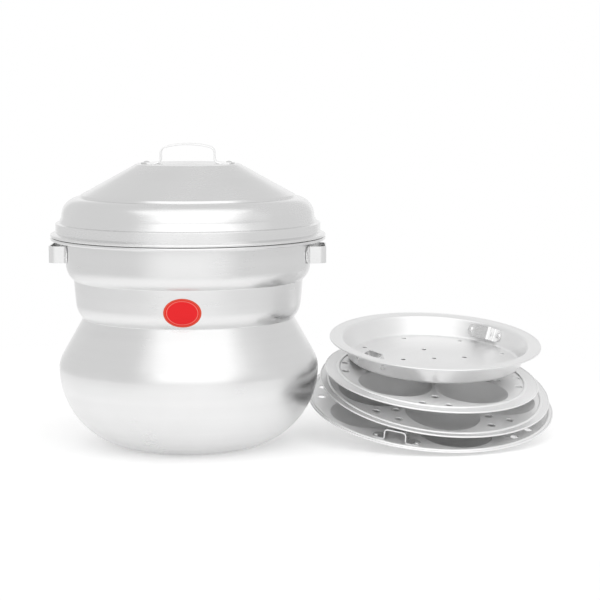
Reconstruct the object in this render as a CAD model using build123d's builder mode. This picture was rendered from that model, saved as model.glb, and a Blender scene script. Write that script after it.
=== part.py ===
from build123d import *
from dataclasses import dataclass
import math
import os

os.makedirs("parts", exist_ok=True)

# Sheet thickness and rolled edges
pot_wall = 1.2
lid_wall = 1.2
tray_wall = 1.2
strap_wall = 1.5
label_wall = 0.4
bead_radius = 1.6
edge_radius = 1.0

# Rivets
shank_radius = 1.6
head_radius = 3.4
head_height = 1.5
tail_radius = 2.8
tail_height = 0.9

# Clearances
shank_clearance = 0.1
seat_clearance = 0.1
rest_clearance = 0.35
overrun = 3.0

# Pot, radii of its outer face and the rise of each stretch over the one under it
base_radius = 70.0
belly_radius = 139.1
belly_height = 84.5
shoulder_inset = 3.9
shoulder_rise = 14.5
waist_inset = 26.1
neck_rise = 39.4
lower_band_flare = 7.5
lower_band_foot_rise = 16.6
lower_band_spread = 2.1
lower_band_rise = 24.6
step_reach = 8.1
step_rise = 16.4
upper_band_rise = 23.2
throat_reach = 3.8
throat_rise = 3.8
flange_reach = 12.5

# Lid, insets of its outer face and rises over the middle of its rolled edge
skirt_inset = 5.6
skirt_foot_rise = 3.25
skirt_rise = 9.5
crease_inset = 3.7
crease_rise = 1.0
dome_foot_inset = 2.8
dome_foot_rise = 6.2
dome_inset = 19.4
dome_rise = 20.4
groove_inset = 1.5
groove_rise = 2.5
crown_radius = 55.0
cone_rise = 32.5

# Lid handle
lid_handle_gap = 56.0
lid_handle_reach = 20.8
lid_handle_crown = 3.0
lid_handle_foot = 22.0
lid_handle_width = 20.0
lid_handle_bend = 6.0
lid_foot_bend = 6.0
lid_handle_rivet_offset = 44.0

# Side lugs of the pot
lug_gap = 49.0
lug_reach = 17.0
lug_foot = 12.0
lug_foot_rise = 2.0
lug_top_drop = 3.2
lug_bend = 7.0
lug_rivet_offset = 31.5

# Label on the lower band
label_width = 39.0
label_height = 30.0
label_middle_rise = 18.2

# Bends beside the feet of the lugs and of the small handles
foot_bend = 3.0

# Cups, vents and ring bead, the same pressing on every tray
cup_depth = 14.0
vent_radius = 4.0
vent_spacing = 27.5
ring_width = 4.0
ring_height = 1.2

# Small tray
small_radius = 118.0
small_ring_radius = 103.0
small_cup_circle = 58.6
small_opening = 40.0
small_inner_vent = 72.5
small_outer_vent = 96.0
small_x = 264.7
small_y = 41.0

# Medium tray
medium_radius = 127.5
medium_ring_radius = 118.0
medium_cup_circle = 71.8
medium_opening = 40.5
medium_inner_vent = 86.0
medium_outer_vent = 105.0
medium_x = 268.7
medium_y = 50.8

# Large tray, with a middle cup and two handles
large_radius = 136.0
large_ring_radius = 131.5
large_cup_circle = 85.0
large_opening = 40.5
large_middle_opening = 38.0
large_inner_vent = 103.0
large_outer_vent = 121.0
large_x = 264.2
large_y = 53.5
large_handle_inset = 12.0
large_handle_gap = 22.0
large_handle_reach = 12.5
large_handle_foot = 15.0
large_handle_width = 14.0
large_handle_bend = 3.0
large_handle_rivet_offset = 22.2

# Steaming pan
pan_radius = 117.7
pan_mouth_radius = 103.4
pan_wall_run = 8.4
pan_depth = 22.5
pan_bend = 4.0
pan_hole_radius = 2.6
pan_inner_hole_circle = 36.0
pan_outer_hole_circle = 84.0
pan_x = 270.3
pan_y = 70.4
pan_handle_gap = 22.0
pan_handle_reach = 12.5
pan_handle_foot = 12.0
pan_handle_width = 15.0
pan_handle_bend = 3.0
pan_handle_rivet_offset = 19.0
pan_foot_clearance = 0.3

# Leans of the loosely stacked trays, down to the front and down to the right, in degrees
large_lean_angles = (13.8, 3.9)
medium_lean_angles = (15.2, 6.1)
small_lean_angles = (10.0, 5.3)
pan_lean_angles = (7.7, 2.3)

# Counts and directions, in degrees from the front and to the right
small_cup_count = 4
medium_cup_count = 5
large_cup_count = 5
small_first_cup_angle = 45.0
medium_first_cup_angle = 5.0
large_first_cup_angle = 16.0
large_handle_angles = (-20.0, 124.0)
pan_handle_angles = (-48.0, 140.0)
pan_inner_hole_count = 4
pan_outer_hole_count = 8
pan_inner_first_angle = -75.0
pan_outer_first_angle = -159.0
full_turn = 360
quarter_turn = 90
probe_step_angle = 6
same_turn_angle = 1

# Share of a crowned strap's top that its middle bend takes up
crown_share = 0.6

# Shares of a cup's radius, and of a handle's half length and half width, where heights are compared
cup_probe_shares = (0.2, 0.4, 0.6, 0.8, 1.0)
length_probe_shares = (-1, -0.5, 0, 0.5, 1)
width_probe_shares = (-1, 0, 1)

# Distance of the large tray's handles from its axis, and radius of the pan's floor
large_handle_radius = large_ring_radius - large_handle_inset
pan_floor_radius = pan_mouth_radius - pan_wall_run

# Radii and heights of the pot's outer face, from the base up
shoulder_radius = belly_radius - shoulder_inset
shoulder_height = belly_height + shoulder_rise
waist_radius = belly_radius - waist_inset
waist_height = shoulder_height + neck_rise
lower_band_foot_radius = waist_radius + lower_band_flare
lower_band_foot_height = waist_height + lower_band_foot_rise
lower_band_top_radius = lower_band_foot_radius + lower_band_spread
lower_band_top_height = lower_band_foot_height + lower_band_rise
upper_band_radius = lower_band_top_radius + step_reach
upper_band_foot_height = lower_band_top_height + step_rise
upper_band_top_height = upper_band_foot_height + upper_band_rise
flange_throat_radius = upper_band_radius + throat_reach
flange_height = upper_band_top_height + throat_rise
mouth_radius = flange_throat_radius + flange_reach

# Radii of the lid's outer face, from its rolled edge in
skirt_radius = mouth_radius - skirt_inset
crease_radius = skirt_radius - crease_inset
dome_foot_radius = crease_radius - dome_foot_inset
dome_radius = dome_foot_radius - dome_inset
groove_radius = dome_radius - groove_inset

# Heights of the lid's outer face, from its rolled edge up
lid_seat_height = flange_height + pot_wall / 2 + 2 * bead_radius + rest_clearance
skirt_foot_height = lid_seat_height + skirt_foot_rise
skirt_top_height = skirt_foot_height + skirt_rise
crease_height = skirt_top_height + crease_rise
dome_foot_height = crease_height + dome_foot_rise
dome_height = dome_foot_height + dome_rise
groove_height = dome_height + groove_rise
crown_height = groove_height + cone_rise

# Width and height of the lugs on the upper band, and height of the label
lug_width = upper_band_rise - lug_foot_rise - lug_top_drop
lug_middle_height = upper_band_foot_height + lug_foot_rise + lug_width / 2
label_middle_height = waist_height + label_middle_rise


@dataclass
class Tray:
    """A pressed tray where it lies: its plane, its sizes and the middles of its cups."""

    frame: Plane
    radius: float
    ring_radius: float
    cups: list
    handle_tops: list


def upright(plane):
    """The plane that stands on another one along its x direction."""
    return Plane(origin=plane.origin, x_dir=plane.x_dir, z_dir=-plane.y_dir)


def leaning_plane(x, y, height, lean):
    """A plane at x, y and height that leans down to the front and to the right."""
    front, right = (math.sin(math.radians(angle)) for angle in lean)
    up = Vector(right, -front, 1)
    return Plane(origin=(x, y, height), x_dir=Vector(0, 1, 0).cross(up), z_dir=up)


def around(radius, turn):
    """The point of a circle at a direction counted from the front and to the right."""
    angle = math.radians(turn)
    return Vector(radius * math.sin(angle), -radius * math.cos(angle))


def ball_radius(opening, depth):
    """Radius of the ball whose cap has this opening and depth."""
    return (opening**2 + depth**2) / (2 * depth)


# Heights at which the stacked trays come to rest on each other


def on_plane(frame, level, x, y):
    """The point of a frame's plane, at a level above it, on the vertical line at x and y."""
    up = frame.z_dir
    foot = frame.origin + up * level
    return Vector(x, y, foot.Z - ((x - foot.X) * up.X + (y - foot.Y) * up.Y) / up.Z)


def cup_bottom(tray, cup, wall):
    """The middle and radius of the ball that shapes a cup, at its inner or outer face."""
    middle, opening = cup
    ball = ball_radius(opening, cup_depth)
    centre = tray.frame.from_local_coords(Vector(middle.X, middle.Y, ball - cup_depth))
    return centre, ball + wall


def tray_height(tray, x, y, wall=0):
    """Height at x and y of a tray's top face, or of its underside if given its wall."""
    flat = on_plane(tray.frame, -wall, x, y)
    spot = tray.frame.to_local_coords(flat)
    if math.hypot(spot.X, spot.Y) > tray.radius:
        return None
    for cup in tray.cups:
        if math.hypot(spot.X - cup[0].X, spot.Y - cup[0].Y) < cup[1]:
            centre, ball = cup_bottom(tray, cup, wall)
            aside = math.hypot(x - centre.X, y - centre.Y)
            return centre.Z - math.sqrt(max(ball**2 - aside**2, 0))
    return flat.Z


def pan_height(frame, x, y):
    """Height at x and y of the underside of the pan's floor or flange."""
    floor = on_plane(frame, -pan_depth, x, y)
    spot = frame.to_local_coords(floor)
    if math.hypot(spot.X, spot.Y) < pan_floor_radius:
        return floor.Z
    flange = on_plane(frame, -tray_wall, x, y)
    spot = frame.to_local_coords(flange)
    return flange.Z if math.hypot(spot.X, spot.Y) < pan_radius else None


def ring_points(frame, radius, level, lift=0):
    """Points round a circle of a frame, each raised straight up by a lift."""
    places = (around(radius, turn) for turn in range(full_turn))
    up = Vector(0, 0, lift)
    return [frame.from_local_coords(Vector(p.X, p.Y, level)) + up for p in places]


def under_points(tray):
    """Points of a tray's underside: its rolled edge and its cups."""
    points = ring_points(tray.frame, tray.radius - edge_radius, -tray_wall / 2, -edge_radius)
    for cup in tray.cups:
        centre, ball = cup_bottom(tray, cup, tray_wall)
        points.append(centre - Vector(0, 0, ball))
        for radius_share in cup_probe_shares:
            for turn in range(0, full_turn, probe_step_angle):
                spot = cup[0] + around(cup[1] * radius_share, turn)
                flat = tray.frame.from_local_coords(Vector(spot.X, spot.Y, 0))
                height = tray_height(tray, flat.X, flat.Y, tray_wall)
                if height is not None:
                    points.append(Vector(flat.X, flat.Y, height))
    return points


def top_points(tray):
    """Points of a tray's top that others can meet: edge, ring bead, cup rims and handles."""
    edge = ring_points(tray.frame, tray.radius - edge_radius, -tray_wall / 2, edge_radius)
    ring = ring_points(tray.frame, tray.ring_radius, ring_height)
    rims = [cup[0] + around(cup[1], turn) for cup in tray.cups for turn in range(full_turn)]
    spots = [Vector(rim.X, rim.Y, 0) for rim in rims] + tray.handle_tops
    return edge + ring + [tray.frame.from_local_coords(spot) for spot in spots]


def resting_lift(points, lower_height, stops, upper_height):
    """Least lift that sets points over a lower face and an upper face over its stops."""
    gaps = [(lower_height(p.X, p.Y), p.Z) for p in points]
    gaps += [(p.Z, upper_height(p.X, p.Y)) for p in stops]
    return max(low - high for low, high in gaps if None not in (low, high)) + rest_clearance


def cup_places(circle, count, first, opening):
    """Middles and openings of the cups round a tray."""
    return [(around(circle, first + full_turn * n / count), opening) for n in range(count)]


def strap_top(turn):
    """Points over the flat top of a handle of the large tray."""
    middle, along = around(large_handle_radius, turn), around(1, turn + quarter_turn)
    outward = around(1, turn)
    half_gap, half_width = large_handle_gap / 2, large_handle_width / 2
    spots = []
    for along_share in length_probe_shares:
        for out_share in width_probe_shares:
            spot = middle + along * (along_share * half_gap) + outward * (out_share * half_width)
            spots.append(Vector(spot.X, spot.Y, large_handle_reach))
    return spots


large_cups = cup_places(large_cup_circle, large_cup_count, large_first_cup_angle, large_opening)
large_cups.append((Vector(0, 0), large_middle_opening))
large_tops = [spot for turn in large_handle_angles for spot in strap_top(turn)]
medium_cups = cup_places(medium_cup_circle, medium_cup_count, medium_first_cup_angle, medium_opening)
small_cups = cup_places(small_cup_circle, small_cup_count, small_first_cup_angle, small_opening)


def rest_tray(x, y, lean, radius, ring_radius, cups, handle_tops, lower):
    """A tray at the height where it rests on the tray under it, or on the ground."""
    tray = Tray(leaning_plane(x, y, 0, lean), radius, ring_radius, cups, handle_tops)
    if lower is None:
        lift = -min(point.Z for point in under_points(tray))
    else:
        lift = resting_lift(
            under_points(tray),
            lambda px, py: tray_height(lower, px, py),
            top_points(lower),
            lambda px, py: tray_height(tray, px, py, tray_wall),
        )
    tray.frame = leaning_plane(x, y, lift, lean)
    return tray


large = rest_tray(
    large_x, large_y, large_lean_angles, large_radius, large_ring_radius, large_cups, large_tops, None
)
medium = rest_tray(
    medium_x, medium_y, medium_lean_angles, medium_radius, medium_ring_radius, medium_cups, [], large
)
small = rest_tray(
    small_x, small_y, small_lean_angles, small_radius, small_ring_radius, small_cups, [], medium
)
pan_start = leaning_plane(pan_x, pan_y, 0, pan_lean_angles)
pan_lift = resting_lift(
    ring_points(pan_start, pan_floor_radius, -pan_depth),
    lambda px, py: tray_height(small, px, py),
    top_points(small),
    lambda px, py: pan_height(pan_start, px, py),
)
pan_frame = leaning_plane(pan_x, pan_y, pan_lift, pan_lean_angles)
print("heights", [round(f.origin.Z, 2) for f in (large.frame, medium.frame, small.frame, pan_frame)])


# Straps and rivets


def foot_line(gap, foot, bulge, slack):
    """Middle, direction and normal of a strap's foot, on a wall of this bulge."""
    middle = gap / 2 + foot / 2
    lean = math.asin(middle * bulge)
    drop = (1 - math.cos(lean)) / bulge if bulge else 0
    normal = Vector(math.sin(lean), math.cos(lean))
    return Vector(middle, -drop) + normal * slack, Vector(math.cos(lean), -math.sin(lean)), normal


def strap_loop(
    seat, gap, reach, foot, width, bends, rivet_planes, bulge=0, slack=0, crown=0
):
    """A strap bent into a loop that stands on its seat on two feet, its top flat or crowned."""
    middle, along, _ = foot_line(gap, foot, bulge, slack)
    end = middle + along * (foot / 2)
    corner = middle + along * ((gap / 2 - middle.X) / along.X)
    half = [end, corner, Vector(gap / 2, reach - strap_wall - crown)]
    apex, apex_radius = [], []
    if crown:
        apex = [Vector(0, reach - strap_wall + crown)]
        apex_radius = [crown_share * math.hypot(gap / 2, 2 * crown) * gap / 4 / crown]
    path = [Vector(-p.X, p.Y) for p in half] + apex + half[::-1]
    radii = [*bends, *apex_radius, *bends[::-1]]
    with BuildPart() as loop:
        with BuildSketch(upright(seat)):
            with BuildLine():
                FilletPolyline(*path, radius=radii)
                offset(amount=strap_wall, side=Side.LEFT)
            make_face()
        extrude(amount=width / 2, both=True)
        with BuildSketch(*[plane.offset(overrun) for plane in rivet_planes]):
            Circle(shank_radius + shank_clearance)
        extrude(amount=-(strap_wall + 2 * overrun), mode=Mode.SUBTRACT)
    return loop


def strap_rivets(seat, gap, foot, rivet_offset, bulge=0, slack=0):
    """Planes on the outer faces of a strap's two feet, where its rivets go."""
    middle, along, normal = foot_line(gap, foot, bulge, slack)
    spot = middle + along * ((rivet_offset - middle.X) / along.X) + normal * strap_wall
    planes = []
    for side in (-1, 1):
        origin = seat.from_local_coords(Vector(side * spot.X, 0, spot.Y))
        tip = seat.from_local_coords(Vector(side * (spot.X + normal.X), 0, spot.Y + normal.Y))
        planes.append(Plane(origin=origin, x_dir=seat.y_dir, z_dir=tip - origin))
    return planes


def rivet_group(planes, grip):
    """Round-headed rivets whose shanks pass through this grip to flat tails."""
    with BuildPart() as rivets:
        for plane in planes:
            with BuildSketch(upright(plane)):
                with BuildLine():
                    TangentArc((0, head_height), (head_radius, 0), tangent=(1, 0))
                    Polyline(
                        (head_radius, 0),
                        (shank_radius, 0),
                        (shank_radius, -grip),
                        (tail_radius, -grip),
                        (tail_radius, -grip - tail_height),
                        (0, -grip - tail_height),
                        (0, head_height),
                    )
                make_face()
            revolve(axis=Axis(plane.origin, plane.z_dir))
    return rivets


# Pot, with its two lugs and its label

lug_seats = [
    Plane(origin=(side * upper_band_radius, 0, lug_middle_height), x_dir=(0, 1, 0), z_dir=(side, 0, 0))
    for side in (-1, 1)
]
lug_bulge = 1 / upper_band_radius
lug_planes = [
    strap_rivets(seat, lug_gap, lug_foot, lug_rivet_offset, lug_bulge, seat_clearance)
    for seat in lug_seats
]
lug_left, lug_right = (
    strap_loop(
        seat,
        lug_gap,
        lug_reach,
        lug_foot,
        lug_width,
        (foot_bend, lug_bend),
        planes,
        lug_bulge,
        seat_clearance,
    )
    for seat, planes in zip(lug_seats, lug_planes)
)
wall_grip = strap_wall + pot_wall + 3 * seat_clearance
lug_left_rivets, lug_right_rivets = (rivet_group(planes, wall_grip) for planes in lug_planes)

lower_band_foot = Vector(lower_band_foot_radius, lower_band_foot_height)
lower_band_top = Vector(lower_band_top_radius, lower_band_top_height)
upper_band_foot = Vector(upper_band_radius, upper_band_foot_height)
upper_band_top = Vector(upper_band_radius, upper_band_top_height)


def neck_line(shift):
    """The outer line of the neck, from the waist to the top of the upper band, moved out by a shift."""
    out = Vector(shift, 0)
    waist = Vector(waist_radius, waist_height)
    TangentArc(lower_band_foot + out, waist + out, tangent=lower_band_foot - lower_band_top)
    Line(lower_band_foot + out, lower_band_top + out)
    TangentArc(upper_band_foot + out, lower_band_top + out, tangent=(0, -1))
    Line(upper_band_foot + out, upper_band_top + out)


with BuildPart() as pot_shell:
    with BuildSketch(Plane.XZ):
        with BuildLine():
            Line((0, 0), (base_radius, 0))
            TangentArc((belly_radius, belly_height), (base_radius, 0), tangent=(0, -1))
            TangentArc(
                (belly_radius, belly_height), (shoulder_radius, shoulder_height), tangent=(0, 1)
            )
            Line((shoulder_radius, shoulder_height), (waist_radius, waist_height))
            neck_line(0)
            TangentArc(upper_band_top, (flange_throat_radius, flange_height), tangent=(0, 1))
            Line((flange_throat_radius, flange_height), (mouth_radius - bead_radius, flange_height))
            offset(amount=pot_wall, side=Side.LEFT)
        make_face()
        with Locations((mouth_radius - bead_radius, flange_height + pot_wall / 2)):
            Circle(bead_radius)
    revolve(axis=Axis.Z)
    with BuildSketch(*lug_planes[0], *lug_planes[1]):
        Circle(shank_radius + shank_clearance)
    extrude(amount=-(wall_grip + overrun), mode=Mode.SUBTRACT)

with BuildPart() as label:
    with BuildSketch(Plane.XZ):
        with BuildLine():
            neck_line(seat_clearance)
            offset(amount=label_wall, side=Side.LEFT)
        make_face()
    revolve(axis=Axis.Z)
    with BuildSketch(Plane.XZ):
        with Locations((0, label_middle_height)):
            Ellipse(label_width / 2, label_height / 2)
    extrude(amount=mouth_radius, mode=Mode.INTERSECT)

# Lid and its handle

lid_handle_seat = Plane.XY.offset(crown_height)
lid_handle_planes = strap_rivets(
    lid_handle_seat, lid_handle_gap, lid_handle_foot, lid_handle_rivet_offset
)
lid_handle = strap_loop(
    lid_handle_seat,
    lid_handle_gap,
    lid_handle_reach,
    lid_handle_foot,
    lid_handle_width,
    (lid_foot_bend, lid_handle_bend),
    lid_handle_planes,
    crown=lid_handle_crown,
)
lid_handle_rivets = rivet_group(lid_handle_planes, strap_wall + lid_wall + seat_clearance)

with BuildPart() as lid_shell:
    with BuildSketch(Plane.XZ):
        with BuildLine():
            Polyline(
                (0, crown_height),
                (crown_radius, crown_height),
                (groove_radius, groove_height),
                (dome_radius, dome_height),
            )
            TangentArc(
                (dome_radius, dome_height), (dome_foot_radius, dome_foot_height), tangent=(1, 0)
            )
            Polyline(
                (dome_foot_radius, dome_foot_height),
                (crease_radius, crease_height),
                (skirt_radius, skirt_top_height),
                (skirt_radius, skirt_foot_height),
                (mouth_radius - bead_radius, lid_seat_height + lid_wall / 2),
            )
            offset(amount=lid_wall, side=Side.RIGHT)
        make_face()
        with Locations((mouth_radius - bead_radius, lid_seat_height)):
            Circle(bead_radius)
    revolve(axis=Axis.Z)
    with BuildSketch(*lid_handle_planes):
        Circle(shank_radius + shank_clearance)
    extrude(amount=-(strap_wall + lid_wall + overrun), mode=Mode.SUBTRACT)

# Cup trays


def cup_blank(opening, wall, top):
    """A solid ball cap, up to a level over the web, as the outside or the hollow of a cup."""
    ball = ball_radius(opening, cup_depth)
    rim = math.sqrt((ball + wall) ** 2 - (ball - cup_depth) ** 2)
    with BuildPart() as blank:
        with BuildSketch(Plane.XZ):
            with BuildLine():
                TangentArc((0, -cup_depth - wall), (rim, 0), tangent=(1, 0))
                if top:
                    Polyline((rim, 0), (rim, top), (0, top), (0, -cup_depth - wall))
                else:
                    Polyline((rim, 0), (0, 0), (0, -cup_depth - wall))
            make_face()
        revolve(axis=Axis.Z)
    return blank.part


def vent_places(circle_in, circle_out, turns):
    """Middles of the vents, three in each gap between cups."""
    spread = math.degrees(math.asin(vent_spacing / 2 / circle_out))
    places = [around(circle_in, turn) for turn in turns]
    for turn in turns:
        places += [around(circle_out, turn - spread), around(circle_out, turn + spread)]
    return places


def gap_turns(count, first):
    """Directions of the gaps between cups."""
    return [first + full_turn * (n + 1 / 2) / count for n in range(count)]


def pressed_tray(tray, vents, rivet_planes=()):
    """A tray with its ring bead, rolled edge, cups and vents."""
    frame, radius, ring = tray.frame, tray.radius, tray.ring_radius
    edge = radius - edge_radius
    with BuildPart(frame) as sheet:
        with BuildSketch(upright(frame)):
            with BuildLine():
                for level in (0, -tray_wall):
                    Line((0, level), (ring - ring_width / 2, level))
                    ThreePointArc(
                        (ring - ring_width / 2, level),
                        (ring, level + ring_height),
                        (ring + ring_width / 2, level),
                    )
                    Line((ring + ring_width / 2, level), (edge, level))
                Line((0, 0), (0, -tray_wall))
                Line((edge, 0), (edge, -tray_wall))
            make_face()
            with Locations((edge, -tray_wall / 2)):
                Circle(edge_radius)
        revolve(axis=Axis(frame.origin, frame.z_dir))
        for middle, opening in tray.cups:
            with Locations((middle.X, middle.Y)):
                add(cup_blank(opening, tray_wall, 0))
        for middle, opening in tray.cups:
            with Locations((middle.X, middle.Y)):
                add(cup_blank(opening, 0, overrun), mode=Mode.SUBTRACT)
        with BuildSketch(frame):
            with Locations(*[(place.X, place.Y) for place in vents]):
                Circle(vent_radius)
        extrude(amount=-(tray_wall + overrun), mode=Mode.SUBTRACT)
        if rivet_planes:
            with BuildSketch(*rivet_planes):
                Circle(shank_radius + shank_clearance)
            extrude(amount=-(strap_wall + tray_wall + overrun), mode=Mode.SUBTRACT)
    return sheet


def large_handle_seat(turn):
    """The plane on the large tray's web where a handle stands."""
    spot, along = around(large_handle_radius, turn), around(1, turn + quarter_turn)
    frame = large.frame
    tip = frame.from_local_coords(Vector(spot.X + along.X, spot.Y + along.Y, 0))
    origin = frame.from_local_coords(Vector(spot.X, spot.Y, 0))
    return Plane(origin=origin, x_dir=tip - origin, z_dir=frame.z_dir)


large_seats = [large_handle_seat(turn) for turn in large_handle_angles]
large_planes = [
    strap_rivets(seat, large_handle_gap, large_handle_foot, large_handle_rivet_offset)
    for seat in large_seats
]
large_handle_front, large_handle_back = (
    strap_loop(
        seat,
        large_handle_gap,
        large_handle_reach,
        large_handle_foot,
        large_handle_width,
        (foot_bend, large_handle_bend),
        planes,
    )
    for seat, planes in zip(large_seats, large_planes)
)
tray_grip = strap_wall + tray_wall + seat_clearance
large_front_rivets, large_back_rivets = (rivet_group(planes, tray_grip) for planes in large_planes)

free_gaps = [
    turn
    for turn in gap_turns(large_cup_count, large_first_cup_angle)
    if all((turn - other) % full_turn > same_turn_angle for other in large_handle_angles)
]
large_vents = vent_places(large_inner_vent, large_outer_vent, free_gaps)
large_tray = pressed_tray(large, large_vents, large_planes[0] + large_planes[1])

medium_gaps = gap_turns(medium_cup_count, medium_first_cup_angle)
medium_tray = pressed_tray(medium, vent_places(medium_inner_vent, medium_outer_vent, medium_gaps))

small_gaps = gap_turns(small_cup_count, small_first_cup_angle)
small_tray = pressed_tray(small, vent_places(small_inner_vent, small_outer_vent, small_gaps))

# Steaming pan, with its two handles inside the wall

pan_floor_level = tray_wall - pan_depth
wall_rise = -pan_floor_level
wall_length = math.hypot(pan_wall_run, wall_rise)
pan_wall_middle_radius = (pan_mouth_radius + pan_floor_radius) / 2


def pan_handle_seat(turn):
    """The plane on the inside of the pan's wall where a handle stands."""
    spot, out, along = (
        around(pan_wall_middle_radius, turn),
        around(1, turn),
        around(1, turn + quarter_turn),
    )
    origin = pan_frame.from_local_coords(Vector(spot.X, spot.Y, pan_floor_level / 2))
    inward = Vector(-out.X * wall_rise, -out.Y * wall_rise, pan_wall_run)
    tip = Vector(spot.X, spot.Y, pan_floor_level / 2) + inward
    side = Vector(spot.X + along.X, spot.Y + along.Y, pan_floor_level / 2)
    return Plane(
        origin=origin,
        x_dir=pan_frame.from_local_coords(side) - origin,
        z_dir=pan_frame.from_local_coords(tip) - origin,
    )


pan_seats = [pan_handle_seat(turn) for turn in pan_handle_angles]
pan_bulge = -wall_rise / wall_length / pan_wall_middle_radius
pan_planes = [
    strap_rivets(
        seat,
        pan_handle_gap,
        pan_handle_foot,
        pan_handle_rivet_offset,
        pan_bulge,
        pan_foot_clearance,
    )
    for seat in pan_seats
]
pan_handle_front, pan_handle_back = (
    strap_loop(
        seat,
        pan_handle_gap,
        pan_handle_reach,
        pan_handle_foot,
        pan_handle_width,
        (foot_bend, pan_handle_bend),
        planes,
        pan_bulge,
        pan_foot_clearance,
    )
    for seat, planes in zip(pan_seats, pan_planes)
)
pan_grip = strap_wall + tray_wall + pan_foot_clearance + seat_clearance
pan_front_rivets, pan_back_rivets = (rivet_group(planes, pan_grip) for planes in pan_planes)

with BuildPart() as pan_shell:
    with BuildSketch(upright(pan_frame)):
        with BuildLine():
            FilletPolyline(
                (0, pan_floor_level),
                (pan_floor_radius, pan_floor_level),
                (pan_mouth_radius, 0),
                (pan_radius - edge_radius, 0),
                radius=pan_bend,
            )
            offset(amount=tray_wall, side=Side.RIGHT)
        make_face()
        with Locations((pan_radius - edge_radius, -tray_wall / 2)):
            Circle(edge_radius)
    revolve(axis=Axis(pan_frame.origin, pan_frame.z_dir))
    with BuildSketch(pan_frame):
        Circle(pan_hole_radius)
        for circle, count, first in (
            (pan_inner_hole_circle, pan_inner_hole_count, pan_inner_first_angle),
            (pan_outer_hole_circle, pan_outer_hole_count, pan_outer_first_angle),
        ):
            with PolarLocations(circle, count, start_angle=first - quarter_turn):
                Circle(pan_hole_radius)
    extrude(amount=-(pan_depth + overrun), mode=Mode.SUBTRACT)
    with BuildSketch(*pan_planes[0], *pan_planes[1]):
        Circle(shank_radius + shank_clearance)
    extrude(amount=-(pan_grip + overrun), mode=Mode.SUBTRACT)

pieces = {
    "pot_shell": pot_shell,
    "lug_left": lug_left,
    "lug_right": lug_right,
    "lug_left_rivets": lug_left_rivets,
    "lug_right_rivets": lug_right_rivets,
    "label": label,
    "lid_shell": lid_shell,
    "lid_handle": lid_handle,
    "lid_handle_rivets": lid_handle_rivets,
    "large_tray": large_tray,
    "large_handle_front": large_handle_front,
    "large_handle_back": large_handle_back,
    "large_front_rivets": large_front_rivets,
    "large_back_rivets": large_back_rivets,
    "medium_tray": medium_tray,
    "small_tray": small_tray,
    "pan_shell": pan_shell,
    "pan_handle_front": pan_handle_front,
    "pan_handle_back": pan_handle_back,
    "pan_front_rivets": pan_front_rivets,
    "pan_back_rivets": pan_back_rivets,
}
for name, piece in pieces.items():
    piece.part.label = name
    export_step(piece.part, f"parts/{name}.step")
    print(name, round(piece.part.volume), len(piece.part.solids()))
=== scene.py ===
"""The looks of an aluminium idli steamer: a spun pot and lid, and a loose stack of cup trays."""
import logging
import math
from dataclasses import dataclass
from enum import Enum

import bmesh
import bpy
from bmesh.types import BMEdge, BMesh, BMVert
from mathutils import Matrix, Vector


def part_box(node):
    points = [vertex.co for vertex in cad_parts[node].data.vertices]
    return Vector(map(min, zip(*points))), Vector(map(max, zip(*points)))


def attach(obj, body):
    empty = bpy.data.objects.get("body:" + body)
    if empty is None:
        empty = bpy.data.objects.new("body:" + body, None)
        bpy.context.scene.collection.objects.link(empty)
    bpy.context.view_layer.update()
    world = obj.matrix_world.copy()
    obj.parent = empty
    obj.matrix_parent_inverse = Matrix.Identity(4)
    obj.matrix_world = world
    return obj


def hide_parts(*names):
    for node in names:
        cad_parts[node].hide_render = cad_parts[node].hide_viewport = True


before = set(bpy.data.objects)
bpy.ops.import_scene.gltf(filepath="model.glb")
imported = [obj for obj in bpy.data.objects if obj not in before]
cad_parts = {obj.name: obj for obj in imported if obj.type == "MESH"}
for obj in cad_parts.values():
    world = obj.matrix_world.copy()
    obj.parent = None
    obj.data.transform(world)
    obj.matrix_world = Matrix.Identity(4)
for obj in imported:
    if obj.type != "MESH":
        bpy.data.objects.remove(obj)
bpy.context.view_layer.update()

log = logging.getLogger("idli_steamer")

# Pairs of radius and height
Line = list[tuple[float, float]]

# Steps of the meshes, in radians and counts
ARC_STEP = math.radians(5)
CUP_ARC_STEP = ARC_STEP / 2
SPIN_STEPS = 224
CUP_STEPS = 96
VENT_STEPS = 28
RIVET_STEPS = 40
FLOOR_STEPS = 128
SHARP_ANGLE = math.radians(38)

# Distances in metres
MERGE_DISTANCE = 1e-7
LEVEL_DISTANCE = 1e-6
SMALLEST_LIP = 1e-5
CLEARANCE = 0.0001


class Body(Enum):
    """The parts that lift away from each other."""

    POT = "pot"
    LID = "lid"
    LARGE = "large"
    MEDIUM = "medium"
    SMALL = "small"
    PAN = "pan"


class Slot(Enum):
    """The material slots of the frame's record."""

    POT = "pot_metal"
    LID = "lid_metal"
    TRAY = "tray_metal"
    STRAP = "straps"
    RIVET = "rivets"
    LABEL = "label"


# Small helpers for directions and planes


def around(radius: float, turn: float, height: float = 0) -> Vector:
    """The point of a circle at a direction in degrees, counted from the front and to the right."""
    angle = math.radians(turn)
    return Vector((radius * math.sin(angle), -radius * math.cos(angle), height))


def plane(origin: Vector, x_dir: Vector, z_dir: Vector) -> Matrix:
    """A placing matrix.

    Args:
        origin: where the plane's own origin goes.
        x_dir: direction of its X axis.
        z_dir: direction of its Z axis, square to the other.

    Returns:
        The matrix that carries a mesh from the plane's own axes to the frame.
    """
    x, z = x_dir.normalized(), z_dir.normalized()
    return Matrix.Translation(origin) @ Matrix((x, z.cross(x), z)).transposed().to_4x4()


# Mesh tools


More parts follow.
